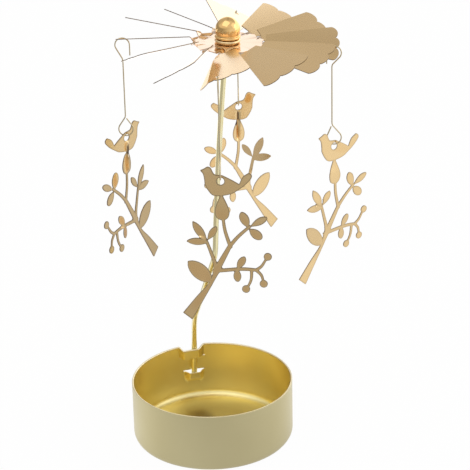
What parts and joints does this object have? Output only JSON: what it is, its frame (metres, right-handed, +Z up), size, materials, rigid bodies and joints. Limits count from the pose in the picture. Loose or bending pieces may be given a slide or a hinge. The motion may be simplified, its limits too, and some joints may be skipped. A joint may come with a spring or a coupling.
{
  "type": "candle carousel",
  "caption": "Brass-coloured metal candle carousel: a tealight cup, a bent wire stem, a spinning rotor of twisted blades, and bird-on-twig charms that hang from it on wire hangers.",
  "frame": {"origin": "centre of the cup's flat underside, on the surface that it stands on", "axes": "+Z up; -Y is the front, opposite the clip; +X is to the right seen from the front"},
  "size_m": [0.1032, 0.0931, 0.1803],
  "materials": {
    "cup_brass": "satin",
    "stem_brass": "polished",
    "rotor_brass": "polished",
    "hub_brass": "polished",
    "hanger_wire": "bright",
    "charm_brass": "polished"
  },
  "bodies": {
    "cup": {"cup": "cup_brass"},
    "stem": {"stem": "stem_brass"},
    "rotor": {"rotor": "rotor_brass", "hub_collar": "hub_brass", "hub_cap": "hub_brass", "pivot_socket": "hub_brass"},
    "hanger_right": {"hanger_right": "hanger_wire"},
    "charm_right": {"charm_right": "charm_brass"},
    "hanger_back": {"hanger_back": "hanger_wire"},
    "charm_back": {"charm_back": "charm_brass"},
    "hanger_left": {"hanger_left": "hanger_wire"},
    "charm_left": {"charm_left": "charm_brass"},
    "hanger_front": {"hanger_front": "hanger_wire"},
    "charm_front": {"charm_front": "charm_brass"}
  },
  "joints": [
    {"name": "stem_lift", "type": "slide", "parent": "cup", "child": "stem", "axis": [0.028, 0.0073, 0.9996], "range_m": [0, 0.016]},
    {"name": "rotor_spin", "type": "hinge", "parent": "stem", "child": "rotor", "pos_m": [0.00982, 0, 0.1767], "axis": [0.0332, 0, 0.9995], "continuous": true},
    {"name": "hanger_right_swing", "type": "hinge", "parent": "rotor", "child": "hanger_right", "pos_m": [0.05011, -0.0039, 0.16623], "axis": [-0.0175, -0.9998, 0], "range_deg": [-8, 40]},
    {"name": "charm_right_swivel", "type": "hinge", "parent": "hanger_right", "child": "charm_right", "pos_m": [0.05011, -0.0039, 0.12813], "axis": [0, 0, 1], "range_deg": [-5, 115]},
    {"name": "hanger_back_swing", "type": "hinge", "parent": "rotor", "child": "hanger_back", "pos_m": [0.01342, 0.04055, 0.16732], "axis": [0.9998, -0.0174, 0], "range_deg": [-8, 40]},
    {"name": "charm_back_swivel", "type": "hinge", "parent": "hanger_back", "child": "charm_back", "pos_m": [0.01342, 0.04055, 0.12922], "axis": [0, 0, 1], "range_deg": [-78, 42]},
    {"name": "hanger_left_swing", "type": "hinge", "parent": "rotor", "child": "hanger_left", "pos_m": [-0.03095, 0.00386, 0.16883], "axis": [0.0175, 0.9998, 0], "range_deg": [-8, 40]},
    {"name": "charm_left_swivel", "type": "hinge", "parent": "hanger_left", "child": "charm_left", "pos_m": [-0.03095, 0.00386, 0.13073], "axis": [0, 0, 1], "range_deg": [-19, 101]},
    {"name": "hanger_front_swing", "type": "hinge", "parent": "rotor", "child": "hanger_front", "pos_m": [0.00581, -0.04055, 0.16741], "axis": [-0.9998, 0.0174, 0], "range_deg": [-8, 40]},
    {"name": "charm_front_swivel", "type": "hinge", "parent": "hanger_front", "child": "charm_front", "pos_m": [0.00581, -0.04055, 0.12931], "axis": [0, 0, 1], "range_deg": [-51, 69]}
  ]
}
